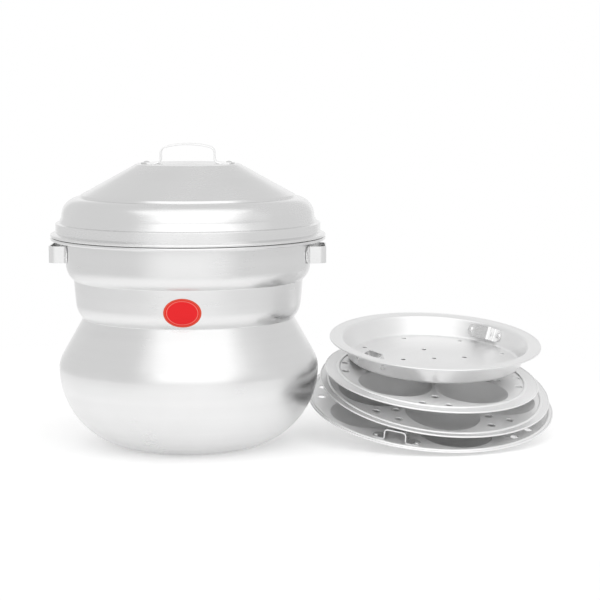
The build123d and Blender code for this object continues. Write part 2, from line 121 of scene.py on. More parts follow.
class SectionPen:
    """Draws half a section as a chain of edges, with radius along X and height along Z."""

    def __init__(self, bm: BMesh, radius: float, height: float) -> None:
        """Starts the chain at a radius and height."""
        self.bm = bm
        self.tip = bm.verts.new((radius, 0, height))

    def at(self) -> Vector:
        """The radius and height of the chain's end."""
        return Vector((self.tip.co.x, self.tip.co.z))

    def line(self, radius: float, height: float) -> BMVert:
        """Draws a straight edge and returns the vertex at its end.

        Args:
            radius: radius of the edge's end.
            height: height of the edge's end.

        Returns:
            The vertex at its end.
        """
        self.tip = bmesh.ops.extrude_vert_indiv(self.bm, verts=[self.tip])["verts"][0]
        self.tip.co = (radius, 0, height)
        return self.tip

    def turn(self, centre: Vector, angle: float) -> None:
        """Draws an arc.

        Args:
            centre: radius and height of the arc's middle.
            angle: sweep in radians, positive from the radius axis towards the height axis.
        """
        steps = max(2, math.ceil(abs(angle) / ARC_STEP))
        step = Matrix.Rotation(-angle / steps, 3, "Y")
        for _ in range(steps):
            self.tip = bmesh.ops.extrude_vert_indiv(self.bm, verts=[self.tip])["verts"][0]
            bmesh.ops.rotate(self.bm, cent=(centre.x, 0, centre.y), matrix=step, verts=[self.tip])

    def arc(
        self, radius: float, height: float, leaving: Vector | None = None, arriving: Vector | None = None
    ) -> None:
        """Draws an arc to a point.

        Args:
            radius: radius of the point.
            height: height of the point.
            leaving: direction of the arc where it starts, if that is known.
            arriving: direction of the arc where it ends, if that is known instead.
        """
        chord = Vector((radius, height)) - self.at()
        if leaving is None:
            along = chord.normalized()
            leaving = 2 * arriving.dot(along) * along - arriving
        leaving = leaving.normalized()
        sweep = 2 * math.atan2(leaving.cross(chord), leaving.dot(chord))
        bend = chord.length / (2 * math.sin(sweep / 2))
        self.turn(self.at() + Vector((-leaving.y, leaving.x)) * bend, sweep)

    def curl(self, centre: Vector, bend: float, sweep: float) -> None:
        """Draws a straight flare that runs into a curl, turning down and back.

        Args:
            centre: radius and height of the curl's middle.
            bend: radius of the curl's line.
            sweep: how far the curl turns, in radians.
        """
        reach = centre - self.at()
        heading = reach.normalized()
        heading.rotate(Matrix.Rotation(math.asin(bend / reach.length), 2))
        foot = self.at() + heading * math.sqrt(reach.length_squared - bend**2)
        self.line(foot.x, foot.y)
        self.turn(centre, -sweep)


def round_corner(bm: BMesh, corner: BMVert, radius: float) -> None:
    """Rounds one corner of a chain of edges to a radius.

    Args:
        bm: the mesh of the chain.
        corner: the vertex of the corner.
        radius: radius of the rounding.
    """
    one, other = (edge.other_vert(corner).co - corner.co for edge in corner.link_edges)
    turn = math.pi - one.angle(other)
    bmesh.ops.bevel(
        bm,
        geom=[corner],
        offset=radius * math.tan(turn / 2),
        offset_type="OFFSET",
        segments=max(2, math.ceil(turn / ARC_STEP)),
        profile=0.5,
        affect="VERTICES",
        material=-1,
    )


def spin_section(bm: BMesh, steps: int = SPIN_STEPS) -> None:
    """Spins a section into a full turn, closed at its seam and poles, its faces pointing outwards.

    Args:
        bm: the mesh of the section.
        steps: steps of the full turn.
    """
    bmesh.ops.spin(
        bm,
        geom=bm.verts[:] + bm.edges[:],
        cent=(0, 0, 0),
        axis=(0, 0, 1),
        dvec=(0, 0, 0),
        angle=math.tau,
        steps=steps,
        use_merge=True,
    )
    bmesh.ops.remove_doubles(bm, verts=bm.verts[:], dist=MERGE_DISTANCE)
    bmesh.ops.recalc_face_normals(bm, faces=bm.faces[:])


def face_out(bm: BMesh, direction: Vector) -> None:
    """Turns a sheet's faces round if the farthest one in a direction looks the other way.

    Args:
        bm: the mesh of the sheet.
        direction: the way its farthest face should look.
    """
    farthest = max(bm.faces, key=lambda face: face.calc_center_median().dot(direction))
    if farthest.normal.dot(direction) < 0:
        bmesh.ops.reverse_faces(bm, faces=bm.faces[:])


class RingPen:
    """Grows a closed ring of edges round the Z axis, step by step, into a band of faces."""

    def __init__(self, bm: BMesh, radius: float, height: float, steps: int) -> None:
        """Starts from a circle of a radius at a height.

        Args:
            bm: the mesh to grow in.
            radius: radius of the circle.
            height: height of the circle.
            steps: its number of edges.
        """
        self.bm, self.radius, self.height = bm, radius, height
        place = Matrix.Translation((0, 0, height))
        verts = bmesh.ops.create_circle(bm, segments=steps, radius=radius, matrix=place)["verts"]
        self.edges = list({edge for vert in verts for edge in vert.link_edges})

    def step(self, radius: float, height: float) -> None:
        """Grows the ring to a radius and height.

        Args:
            radius: the ring's new radius.
            height: the ring's new height.
        """
        grown = bmesh.ops.extrude_edge_only(self.bm, edges=self.edges)["geom"]
        verts = [item for item in grown if isinstance(item, BMVert)]
        self.edges = [item for item in grown if isinstance(item, BMEdge)]
        share = max(radius, MERGE_DISTANCE / 10) / self.radius
        bmesh.ops.scale(self.bm, vec=(share, share, 1), verts=verts)
        bmesh.ops.translate(self.bm, vec=(0, 0, height - self.height), verts=verts)
        self.radius, self.height = radius, height

    def follow(self, line: Line) -> None:
        """Grows the ring along a line of radii and heights."""
        for radius, height in line:
            self.step(radius, height)


def merge_in(whole: BMesh, part: BMesh, place: Matrix) -> None:
    """Adds a part to a mesh at a place, and frees the part.

    Args:
        whole: the mesh that grows.
        part: the mesh to add.
        place: where the part goes.
    """
    part.transform(place)
    mesh = bpy.data.meshes.new("part")
    part.to_mesh(mesh)
    part.free()
    whole.from_mesh(mesh)
    bpy.data.meshes.remove(mesh)


def arc_line(centre: Vector, bend: float, start: float, end: float) -> Line:
    """Points of an arc after its first one.

    Args:
        centre: radius and height of the arc's middle.
        bend: radius of the arc.
        start: direction of its first point, in radians from the radius axis.
        end: direction of its last point.

    Returns:
        Pairs of radius and height.
    """
    steps = max(3, math.ceil(abs(end - start) / ARC_STEP))
    angles = (start + (end - start) * n / steps for n in range(1, steps + 1))
    return [(centre.x + bend * math.cos(a), centre.y + bend * math.sin(a)) for a in angles]


def make_piece(
    bm: BMesh, name: str, body: Body, nodes: list[str], finish: bpy.types.Material
) -> bpy.types.Object:
    """Makes a finished mesh into a piece that rides on its body and stands for CAD nodes.

    Args:
        bm: the mesh, in place.
        name: the piece's own name.
        body: the body that carries it.
        nodes: the CAD nodes that it stands for.
        finish: its material.

    Returns:
        The piece's object.
    """
    mesh = bpy.data.meshes.new(name)
    bm.to_mesh(mesh)
    bm.free()
    mesh.shade_smooth()
    mesh.set_sharp_from_angle(angle=SHARP_ANGLE)
    piece = bpy.data.objects.new(name, mesh)
    bpy.context.scene.collection.objects.link(piece)
    piece.data.materials.append(finish)
    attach(piece, body.value)
    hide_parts(*nodes)
    log.info("%s rides on %s, %d faces", name, body.value, len(mesh.polygons))
    return piece


def thicken(piece: bpy.types.Object, wall: float, side: float) -> None:
    """Gives a sheet its thickness, to one side of the face that was drawn.

    Args:
        piece: the sheet.
        wall: its thickness.
        side: 1 to grow along the faces' normals, -1 to grow against them.
    """
    solid = piece.modifiers.new("wall", "SOLIDIFY")
    solid.thickness = wall
    solid.offset = side
    solid.use_even_offset = True


def break_edges(piece: bpy.types.Object, width: float) -> None:
    """Rounds the sharp edges of a piece a little, as a deburred edge is.

    Args:
        piece: the piece.
        width: width of the rounding.
    """
    bevel = piece.modifiers.new("edges", "BEVEL")
    bevel.width = width
    bevel.segments = 2
    bevel.limit_method = "ANGLE"
    bevel.angle_limit = SHARP_ANGLE


def steady_shading(piece: bpy.types.Object) -> None:
    """Lets the large flat faces of a piece lead its shading."""
    weighted = piece.modifiers.new("shading", "WEIGHTED_NORMAL")
    weighted.keep_sharp = True


# Finishes


class Graph:
    """The nodes of a material or a world, added and joined by name."""

    def __init__(self, owner: bpy.types.ID) -> None:
        """Starts an empty graph for its owner.

        Args:
            owner: the material or the world.
        """
        self.owner = owner
        owner.use_nodes = True
        self.tree = owner.node_tree
        self.tree.nodes.clear()

    def node(self, kind: str, inputs: dict | None = None, **settings: object) -> bpy.types.Node:
        """Adds a node.

        Args:
            kind: the end of its type's name.
            inputs: values or sockets for its inputs, by name or number.
            settings: its own settings.

        Returns:
            The node.
        """
        node = self.tree.nodes.new(f"ShaderNode{kind}")
        for key, value in settings.items():
            setattr(node, key, value)
        for key, value in (inputs or {}).items():
            if isinstance(value, bpy.types.NodeSocket):
                self.tree.links.new(value, node.inputs[key])
            else:
                node.inputs[key].default_value = value
        return node

    def math(self, operation: str, *values: object) -> bpy.types.NodeSocket:
        """The result of a sum on numbers or sockets."""
        return self.node("Math", dict(enumerate(values)), operation=operation).outputs[0]

    def vector(self, operation: str, *values: object) -> bpy.types.Node:
        """A sum on vectors, as its node."""
        return self.node("VectorMath", dict(enumerate(values)), operation=operation)

    def spread(self, value: object, low: float, high: float) -> bpy.types.NodeSocket:
        """A value from 0 to 1 carried to the range from low to high."""
        return self.node("MapRange", {"Value": value, "To Min": low, "To Max": high}).outputs[0]

    def ramp(self, value: object, low: float, high: float) -> bpy.types.NodeSocket:
        """A soft rise from 0 to 1 while a value goes from low to high."""
        limits = {"Value": value, "From Min": low, "From Max": high}
        return self.node("MapRange", limits, interpolation_type="SMOOTHSTEP").outputs[0]

    def grey(self, value: object) -> bpy.types.NodeSocket:
        """A grey of this value."""
        return self.node("CombineColor", {0: value, 1: value, 2: value}).outputs[0]

    def output(self, surface: bpy.types.Node) -> bpy.types.ID:
        """Ends the graph with a surface shader and returns its owner.

        Args:
            surface: the shader.

        Returns:
            The owner.
        """
        kind = "OutputWorld" if isinstance(self.owner, bpy.types.World) else "OutputMaterial"
        self.node(kind, {"Surface": surface.outputs[0]})
        return self.owner


@dataclass(frozen=True)
class Aluminium:
    """Satin aluminium with fine marks, smears of tone and small dents.

    Turned sheet has its marks in rings round an axis; drawn strap has them along its length.
    """

    name: str
    tone: float = 0.80
    tone_range: float = 0.05
    roughness: float = 0.3
    roughness_range: float = 0.1
    anisotropy: float = 0.5
    across_marks: float = 0.25
    metallic: float = 1.0
    mark_spacing: float = 0.0016
    mark_depth: float = 0.000036
    mark_arc_share: float = 0.004
    mark_length_share: float = 0.04
    mark_share: float = 0.35
    band_share: float = 0.4
    band_spacing: float = 0.009
    smear_size: float = 0.06
    dent_size: float = 0.022
    dent_depth: float = 0.00012

    def polar(self, graph: Graph, place: bpy.types.Node) -> bpy.types.NodeSocket:
        """Coordinates of radius, height and a slow turn round the axis of a placed pattern.

        Args:
            graph: the graph to add to.
            place: the placed coordinates.

        Returns:
            The coordinates.
        """
        parts = graph.node("SeparateXYZ", {0: place.outputs[0]}).outputs
        flat = graph.vector("MULTIPLY", place.outputs[0], (1, 1, 0)).outputs[0]
        radius = graph.vector("LENGTH", flat).outputs["Value"]
        turn = graph.math("MULTIPLY", graph.math("ARCTAN2", parts[1], parts[0]), self.mark_arc_share)
        return graph.node("CombineXYZ", {0: radius, 1: parts[2], 2: turn}).outputs[0]

    def noise(self, graph: Graph, place: object, size: float, detail: float) -> bpy.types.NodeSocket:
        """A noise pattern of a size."""
        return graph.node("TexNoise", {"Vector": place, "Scale": 1 / size, "Detail": detail}).outputs[0]

    def blend(self, graph: Graph, one: object, other: object, share: float) -> bpy.types.NodeSocket:
        """Two patterns laid over each other, the first one by this share."""
        parts = graph.math("MULTIPLY", one, share), graph.math("MULTIPLY", other, 1 - share)
        return graph.math("ADD", *parts)

    def material(self, axis: Matrix, turned: bool = True) -> bpy.types.Material:
        """Builds the finish.

        Args:
            axis: the place whose Z axis the marks go round, or whose X axis they follow.
            turned: whether the marks are rings.

        Returns:
            The material.
        """
        graph = Graph(bpy.data.materials.new(self.name))
        spot = graph.node("TexCoord").outputs["Object"]
        place = graph.node(
            "Mapping",
            {"Vector": spot, "Location": axis.translation, "Rotation": axis.to_euler()},
            vector_type="TEXTURE",
        )
        if turned:
            line = self.polar(graph, place)
            across = graph.vector("SUBTRACT", spot, tuple(axis.translation)).outputs[0]
            tangent = graph.vector("CROSS_PRODUCT", tuple(axis.col[2].xyz), across).outputs[0]
        else:
            line = graph.vector("MULTIPLY", place.outputs[0], (self.mark_length_share, 1, 1)).outputs[0]
            tangent = None
        marks = self.noise(graph, line, self.mark_spacing, 3)
        bands = self.noise(graph, line, self.band_spacing, 2)
        smears = self.noise(graph, spot, self.smear_size, 4)
        dents = self.noise(graph, spot, self.dent_size, 1)
        shade = graph.spread(
            self.blend(graph, bands, smears, self.band_share),
            self.tone - self.tone_range,
            self.tone + self.tone_range,
        )
        rough = graph.spread(
            self.blend(graph, marks, smears, self.mark_share),
            self.roughness - self.roughness_range,
            self.roughness + self.roughness_range,
        )
        relief = graph.node("Bump", {"Height": dents, "Distance": self.dent_depth})
        relief = graph.node(
            "Bump", {"Height": marks, "Distance": self.mark_depth, "Normal": relief.outputs[0]}
        )
        metal = graph.node(
            "BsdfPrincipled",
            {
                "Base Color": graph.grey(shade),
                "Metallic": self.metallic,
                "Roughness": rough,
                "Anisotropic": self.anisotropy if turned else 0.0,
                "Anisotropic Rotation": self.across_marks if turned else 0.0,
                "Normal": relief.outputs[0],
            },
        )
        if tangent is not None:
            graph.tree.links.new(graph.vector("NORMALIZE", tangent).outputs[0], metal.inputs["Tangent"])
        return graph.output(metal)


@dataclass(frozen=True)
class PressedAluminium(Aluminium):
    """The paler and more even sheet of the cup trays."""

    tone: float = 0.94
    tone_range: float = 0.03
    roughness_range: float = 0.06
    anisotropy: float = 0.2
    metallic: float = 0.55
    mark_depth: float = 0.000012


@dataclass(frozen=True)
class PrintedOval:
    """A glossy printed oval: a red field, a thin pale line and an orange rim, with no lettering."""

    name: str
    half_width: float
    half_height: float
    middle_height: float
    field: tuple = (0.82, 0.006, 0.010, 1)
    line: tuple = (0.85, 0.25, 0.20, 1)
    rim: tuple = (0.72, 0.080, 0.035, 1)
    worn: tuple = (0.86, 0.03, 0.03, 1)
    line_share: float = 0.80
    line_width_share: float = 0.035
    rim_share: float = 0.90
    grain_size: float = 0.0012
    grain_depth: float = 0.00001
    wander: float = 0.006
    wear: float = 0.15
    roughness_span: tuple = (0.35, 0.5)
    gloss: float = 0.3

    def material(self) -> bpy.types.Material:
        """Builds the finish.

        Returns:
            The material.
        """
        graph = Graph(bpy.data.materials.new(self.name))
        spot = graph.node("TexCoord").outputs["Object"]
        scale = (1 / self.half_width, 0, 1 / self.half_height)
        shift = (0, 0, -self.middle_height / self.half_height)
        place = graph.node("Mapping", {"Vector": spot, "Location": shift, "Scale": scale})
        reach = graph.vector("LENGTH", place.outputs[0]).outputs["Value"]
        grain = graph.node("TexNoise", {"Vector": spot, "Scale": 1 / self.grain_size, "Detail": 3})
        wandering = graph.math("ADD", reach, graph.spread(grain.outputs[0], -self.wander, self.wander))
        ramp = graph.node("ValToRGB", {"Fac": wandering})
        stops = ramp.color_ramp
        stops.interpolation = "CONSTANT"
        ends = (
            (self.line_share, self.line),
            (self.line_share + self.line_width_share, self.field),
            (self.rim_share, self.rim),
        )
        stops.elements[0].color = self.field
        stops.elements.remove(stops.elements[1])
        for share, colour in ends:
            stops.elements.new(share).color = colour
        wear = graph.spread(grain.outputs[0], 0.0, self.wear)
        tint = graph.node("Mix", {0: wear, 6: ramp.outputs[0], 7: self.worn}, data_type="RGBA")
        relief = graph.node("Bump", {"Height": grain.outputs[0], "Distance": self.grain_depth})
        skin = graph.node(
            "BsdfPrincipled",
            {
                "Base Color": tint.outputs[2],
                "Roughness": graph.spread(grain.outputs[0], *self.roughness_span),
                "Specular IOR Level": self.gloss,
                "Normal": relief.outputs[0],
            },
        )
        return graph.output(skin)


# Straps and rivets


@dataclass
class StrapLoop:
    """A strap bent into a loop on two feet, with a rivet through each foot."""

    gap: float
    reach: float
    foot: float
    width: float
    bend: float
    foot_bend: float
    rivet_offset: float
    bulge: float = 0
    slack: float = 0
    crown: float = 0
    crown_share: float = 0.6
    wall: float = 0.0015
    end_share: float = 0.42
    end_segments: int = 8
    broken_edge: float = 0.0003

    def foot_line(self) -> tuple[Vector, Vector, Vector]:
        """Middle, direction and normal of a foot, on a wall of this bulge.

        Returns:
            The middle, the direction and the normal, in the loop's plane.
        """
        middle = self.gap / 2 + self.foot / 2
        lean = math.asin(middle * self.bulge)
        drop = (1 - math.cos(lean)) / self.bulge if self.bulge else 0
        normal = Vector((math.sin(lean), math.cos(lean)))
        along = Vector((math.cos(lean), -math.sin(lean)))
        return Vector((middle, -drop)) + normal * self.slack, along, normal

    def mesh(self, seat: Matrix) -> BMesh:
        """The strap's face next to its seat, with round-ended feet.

        Args:
            seat: the plane that the loop stands on, its X axis along the loop.

        Returns:
            The mesh, in place.
        """
        middle, along, _ = self.foot_line()
        end = middle + along * (self.foot / 2)
        heel = middle + along * ((self.gap / 2 - middle.x) / along.x)
        top = self.reach - self.wall - self.crown
        bm = bmesh.new()
        pen = SectionPen(bm, -end.x, end.y)
        corners = [(pen.line(-heel.x, heel.y), self.foot_bend), (pen.line(-self.gap / 2, top), self.bend)]
        if self.crown:
            peak = pen.line(0, self.reach - self.wall + self.crown)
            run = math.hypot(self.gap / 2, 2 * self.crown)
            corners.append((peak, self.crown_share * run * self.gap / 4 / self.crown))
        corners += [(pen.line(self.gap / 2, top), self.bend), (pen.line(heel.x, heel.y), self.foot_bend)]
        pen.line(end.x, end.y)
        for corner, radius in corners:
            round_corner(bm, corner, radius)
        grown = bmesh.ops.extrude_edge_only(bm, edges=bm.edges[:])["geom"]
        far = [item for item in grown if isinstance(item, BMVert)]
        bmesh.ops.translate(bm, vec=(0, self.width, 0), verts=far)
        bmesh.ops.translate(bm, vec=(0, -self.width / 2, 0), verts=bm.verts[:])
        ends = [vert for vert in bm.verts if abs(vert.co.x) > end.x - MERGE_DISTANCE]
        bmesh.ops.bevel(
            bm, geom=ends, offset=self.end_share * self.width, segments=self.end_segments,
            profile=0.5, affect="VERTICES", material=-1,
        )
        bmesh.ops.recalc_face_normals(bm, faces=bm.faces[:])
        face_out(bm, Vector((0, 0, 1)))
        bm.transform(seat)
        return bm

    def rivet_planes(self, seat: Matrix) -> list[Matrix]:
        """The planes on the outer faces of the two feet, where the rivets go.

        Args:
            seat: the plane that the loop stands on.

        Returns:
            The two planes.
        """
        middle, along, normal = self.foot_line()
        spot = middle + along * ((self.rivet_offset - middle.x) / along.x) + normal * self.wall
        planes = []
        for side in (-1, 1):
            origin = seat @ Vector((side * spot.x, 0, spot.y))
            tip = seat @ Vector((side * (spot.x + normal.x), 0, spot.y + normal.y))
            planes.append(plane(origin, seat.col[1].xyz, tip - origin))
        return planes

    def make(self, seat: Matrix, name: str, body: Body, node: str, finish: Aluminium) -> bpy.types.Object:
        """Makes the strap as a piece.

        Args:
            seat: the plane that the loop stands on.
            name: the piece's name.
            body: the body that carries it.
            node: the CAD node that it stands for.
            finish: its finish.

        Returns:
            The strap's object.
        """
        metal = finish.material(seat, turned=False)
        piece = make_piece(self.mesh(seat), name, body, [node], metal)
        thicken(piece, self.wall, 1)
        break_edges(piece, self.broken_edge)
        steady_shading(piece)
        return piece


@dataclass
class RoundRivets:
    """Round-headed rivets whose shanks pass through a grip to flat tails."""

    grip: float
    shank_radius: float = 0.0016
    head_radius: float = 0.0034
    head_height: float = 0.0015
    tail_radius: float = 0.0028
    tail_height: float = 0.0009
    rim: float = 0.0002
    head_lip: float = 0.00025

    def mesh(self, places: list[Matrix]) -> BMesh:
        """The rivets at their places, as one mesh.

        Args:
            places: the planes under the rivets' heads.

        Returns:
            The mesh, in place.
        """
        whole = bmesh.new()
        for place in places:
            bm = bmesh.new()
            pen = SectionPen(bm, 0, self.head_height)
            pen.arc(self.head_radius, self.head_lip, leaving=Vector((1, 0)))
            lip = pen.line(self.head_radius, 0)
            pen.line(self.shank_radius, 0)
            pen.line(self.shank_radius, -self.grip)
            pen.line(self.tail_radius, -self.grip)
            tail = pen.line(self.tail_radius, -self.grip - self.tail_height)
            pen.line(0, -self.grip - self.tail_height)
            round_corner(bm, tail, self.rim)
            round_corner(bm, lip, self.rim / 2)
            spin_section(bm, RIVET_STEPS)
            merge_in(whole, bm, place)
        return whole

    def make(
        self, places: list[Matrix], name: str, body: Body, node: str, finish: Aluminium
    ) -> bpy.types.Object:
        """Makes the rivets as a piece.

        Args:
            places: the planes under the rivets' heads.
            name: the piece's name.
            body: the body that carries them.
            node: the CAD node that they stand for.
            finish: their finish.

        Returns:
            The rivets' object.
        """
        metal = finish.material(places[0], turned=False)
        piece = make_piece(self.mesh(places), name, body, [node], metal)
        steady_shading(piece)
        return piece


# Pot


@dataclass
class SideLug(StrapLoop):
    """A lug on the pot's upper band."""

    gap: float = 0.049
    reach: float = 0.017
    foot: float = 0.012
    width: float = 0.018
    bend: float = 0.007
    foot_bend: float = 0.003
    rivet_offset: float = 0.0315
    slack: float = CLEARANCE


@dataclass
class Pot:
    """The spun pot with its belly, its two bands, its rolled mouth, two lugs and a label."""

    wall: float = 0.0012
    base_radius: float = 0.0700
    belly_radius: float = 0.1391
    belly_height: float = 0.0845
    shoulder_radius: float = 0.1352
    shoulder_height: float = 0.0990
    waist_radius: float = 0.1130
    waist_height: float = 0.1384
    lower_foot_radius: float = 0.1205
    lower_foot_height: float = 0.1550
    lower_top_radius: float = 0.1226
    lower_top_height: float = 0.1796
    upper_radius: float = 0.1307
    upper_foot_height: float = 0.1960
    upper_top_height: float = 0.2192
    flange_radius: float = 0.1345
    flange_height: float = 0.2230
    flare_radius: float = 0.1400
    bead_middle_radius: float = 0.1454
    bead_radius: float = 0.0016
    curl_sweep: float = math.radians(235)
    base_round: float = 0.0048
    crease_round: float = 0.0012
    lug_height: float = 0.2070
    label_half_width: float = 0.0195
    label_half_height: float = 0.0150
    label_height: float = 0.1566
    label_wall: float = 0.0004
    label_edge: float = 0.0001
    label_rings: int = 12

    def band_heading(self) -> Vector:
        """The direction of the lower band, going up."""
        rise = self.lower_top_height - self.lower_foot_height
        return Vector((self.lower_top_radius - self.lower_foot_radius, rise)).normalized()

    def shell(self) -> BMesh:
        """The outer face of the pot, up to the end of its curl.

        Returns:
            The mesh, in place.
        """
        bm = bmesh.new()
        pen = SectionPen(bm, 0, 0)
        base = pen.line(self.base_radius, 0)
        up = Vector((0, 1))
        pen.arc(self.belly_radius, self.belly_height, arriving=up)
        pen.arc(self.shoulder_radius, self.shoulder_height, leaving=up)
        waist = pen.line(self.waist_radius, self.waist_height)
        pen.arc(self.lower_foot_radius, self.lower_foot_height, arriving=self.band_heading())
        step = pen.line(self.lower_top_radius, self.lower_top_height)
        pen.arc(self.upper_radius, self.upper_foot_height, arriving=up)
        pen.line(self.upper_radius, self.upper_top_height)
        pen.arc(self.flange_radius, self.flange_height, leaving=up)
        pen.line(self.flare_radius, self.flange_height)
        middle = Vector((self.bead_middle_radius, self.flange_height + self.wall / 2))
        pen.curl(middle, self.bead_radius - self.wall, self.curl_sweep)
        for corner in (waist, step):
            round_corner(bm, corner, self.crease_round)
        round_corner(bm, base, self.base_round)
        spin_section(bm)
        face_out(bm, Vector((0, 0, -1)))
        return bm

    def band_radius(self, height: float) -> float:
        """Radius of the pot's outer face at a height on the lower band.

        Args:
            height: a height on the band or on the curve under it.

        Returns:
            The radius.
        """
        if height > self.lower_foot_height:
            share = (height - self.lower_foot_height) / (self.lower_top_height - self.lower_foot_height)
            return self.lower_foot_radius + share * (self.lower_top_radius - self.lower_foot_radius)
        foot = Vector((self.lower_foot_radius, self.lower_foot_height))
        chord = Vector((self.waist_radius, self.waist_height)) - foot
        inward = Vector((-self.band_heading().y, self.band_heading().x))
        bend = chord.length_squared / (2 * inward.dot(chord))
        middle = foot + inward * bend
        return middle.x + math.sqrt(bend**2 - (height - middle.y) ** 2)

    def label_sheet(self) -> BMesh:
        """The label's back face, laid round the lower band.

        Returns:
            The mesh, in place.
        """
        bm = bmesh.new()
        ring = RingPen(bm, 1, 0, CUP_STEPS)
        for n in range(self.label_rings - 1, -1, -1):
            ring.step(n / self.label_rings, 0)
        bmesh.ops.remove_doubles(bm, verts=bm.verts[:], dist=MERGE_DISTANCE)
        for vert in bm.verts:
            across = vert.co.x * self.label_half_width
            height = self.label_height + vert.co.y * self.label_half_height
            radius = self.band_radius(height) + CLEARANCE
            vert.co = (across, -math.sqrt(radius**2 - across**2), height)
        bmesh.ops.recalc_face_normals(bm, faces=bm.faces[:])
        face_out(bm, Vector((0, -1, 0)))
        return bm

    def make(self, metal: Aluminium, strap: Aluminium, rivet: Aluminium) -> None:
        """Builds and dresses the pot, its lugs and its label.

        Args:
            metal: finish of the sheet.
            strap: finish of the straps.
            rivet: finish of the rivets.
        """
        finish = metal.material(Matrix())
        shell = make_piece(self.shell(), "spun_pot", Body.POT, ["pot_shell"], finish)
        thicken(shell, self.wall, -1)
        steady_shading(shell)
        lug = SideLug(bulge=1 / self.upper_radius)
        rivets = RoundRivets(grip=lug.wall + self.wall + 3 * CLEARANCE)
        for side, name in ((-1, "left"), (1, "right")):
            middle = Vector((side * self.upper_radius, 0, self.lug_height))
            seat = plane(middle, Vector((0, 1, 0)), Vector((side, 0, 0)))
            lug.make(seat, f"{name}_lug", Body.POT, f"lug_{name}", strap)
            places = lug.rivet_planes(seat)
            rivets.make(places, f"{name}_lug_rivets", Body.POT, f"lug_{name}_rivets", rivet)
        sizes = (self.label_half_width, self.label_half_height, self.label_height)
        finish = PrintedOval("printed_label", *sizes).material()
        label = make_piece(self.label_sheet(), "oval_label", Body.POT, ["label"], finish)
        thicken(label, self.label_wall, 1)
        break_edges(label, self.label_edge)
        steady_shading(label)


# Lid


@dataclass
class LidHandle(StrapLoop):
    """The crowned handle on top of the lid."""

    gap: float = 0.056
    reach: float = 0.0208
    foot: float = 0.022
    width: float = 0.020
    bend: float = 0.006
    foot_bend: float = 0.006
    rivet_offset: float = 0.044
    crown: float = 0.003


@dataclass
class Lid:
    """The spun lid, from its flat crown down to its rolled edge, with a crowned handle."""

    wall: float = 0.0012
    bead_middle_radius: float = 0.1454
    bead_radius: float = 0.0016
    skirt_radius: float = 0.1414
    skirt_foot_rise: float = 0.00325
    skirt_top_rise: float = 0.01275
    crease_radius: float = 0.1377
    crease_rise: float = 0.01375
    dome_foot_radius: float = 0.1349
    dome_foot_rise: float = 0.01995
    shoulder_radius: float = 0.1155
    shoulder_rise: float = 0.04035
    groove_radius: float = 0.1140
    groove_rise: float = 0.04285
    crown_radius: float = 0.0550
    crown_rise: float = 0.07535
    curl_sweep: float = math.radians(235)
    crown_round: float = 0.004
    crease_round: float = 0.0007

    def seat_height(self) -> float:
        """Height of the middle of the lid's rolled edge."""
        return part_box("lid_shell")[1].z - self.crown_rise

    def shell(self) -> BMesh:
        """The outer face of the lid, down to the end of its curl.

        Returns:
            The mesh, in place.
        """
        seat = self.seat_height()
        bm = bmesh.new()
        pen = SectionPen(bm, 0, seat + self.crown_rise)
        crown = pen.line(self.crown_radius, seat + self.crown_rise)
        groove = pen.line(self.groove_radius, seat + self.groove_rise)
        shoulder = pen.line(self.shoulder_radius, seat + self.shoulder_rise)
        pen.arc(self.dome_foot_radius, seat + self.dome_foot_rise, leaving=Vector((1, 0)))
        crease = pen.line(self.crease_radius, seat + self.crease_rise)
        skirt = pen.line(self.skirt_radius, seat + self.skirt_top_rise)
        pen.line(self.skirt_radius, seat + self.skirt_foot_rise)
        pen.curl(Vector((self.bead_middle_radius, seat)), self.bead_radius, self.curl_sweep)
        round_corner(bm, crown, self.crown_round)
        for corner in (groove, shoulder, crease, skirt):
            round_corner(bm, corner, self.crease_round)
        spin_section(bm)
        face_out(bm, Vector((0, 0, 1)))
        return bm

    def make(self, metal: Aluminium, strap: Aluminium, rivet: Aluminium) -> None:
        """Builds and dresses the lid and its handle.

        Args:
            metal: finish of the sheet.
            strap: finish of the straps.
            rivet: finish of the rivets.
        """
        finish = metal.material(Matrix())
        shell = make_piece(self.shell(), "spun_lid", Body.LID, ["lid_shell"], finish)
        thicken(shell, self.wall, -1)
        steady_shading(shell)
        top = Vector((0, 0, self.seat_height() + self.crown_rise))
        seat = plane(top, Vector((1, 0, 0)), Vector((0, 0, 1)))
        handle = LidHandle()
        handle.make(seat, "lid_grip", Body.LID, "lid_handle", strap)
        rivets = RoundRivets(grip=handle.wall + self.wall + CLEARANCE)
        rivets.make(handle.rivet_planes(seat), "lid_grip_rivets", Body.LID, "lid_handle_rivets", rivet)


# Trays


@dataclass
class InnerHandle(StrapLoop):
    """A small handle inside a tray or the pan."""

    gap: float = 0.022
    reach: float = 0.0125
    foot: float = 0.015
    width: float = 0.014
    bend: float = 0.003
    foot_bend: float = 0.003
    rivet_offset: float = 0.0222


def make_inner_handles(
    handle: InnerHandle, seats: list[Matrix], body: Body, sheet: float, strap: Aluminium, rivet: Aluminium
) -> None:
    """Builds and dresses the two handles of a tray or the pan, and their rivets.

    Args:
        handle: the handle.
        seats: the planes where the front one and the back one stand.
        body: the body that carries them.
        sheet: thickness of what lies between a foot and the tails of the rivets.
        strap: finish of the handles.
        rivet: finish of the rivets.
    """
    rivets = RoundRivets(grip=handle.wall + sheet + CLEARANCE)
    for seat, side in zip(seats, ("front", "back")):
        name = f"{body.value}_grip_{side}"
        handle.make(seat, name, body, f"{body.value}_handle_{side}", strap)
        places = handle.rivet_planes(seat)
        rivets.make(places, f"{name}_rivets", body, f"{body.value}_{side}_rivets", rivet)


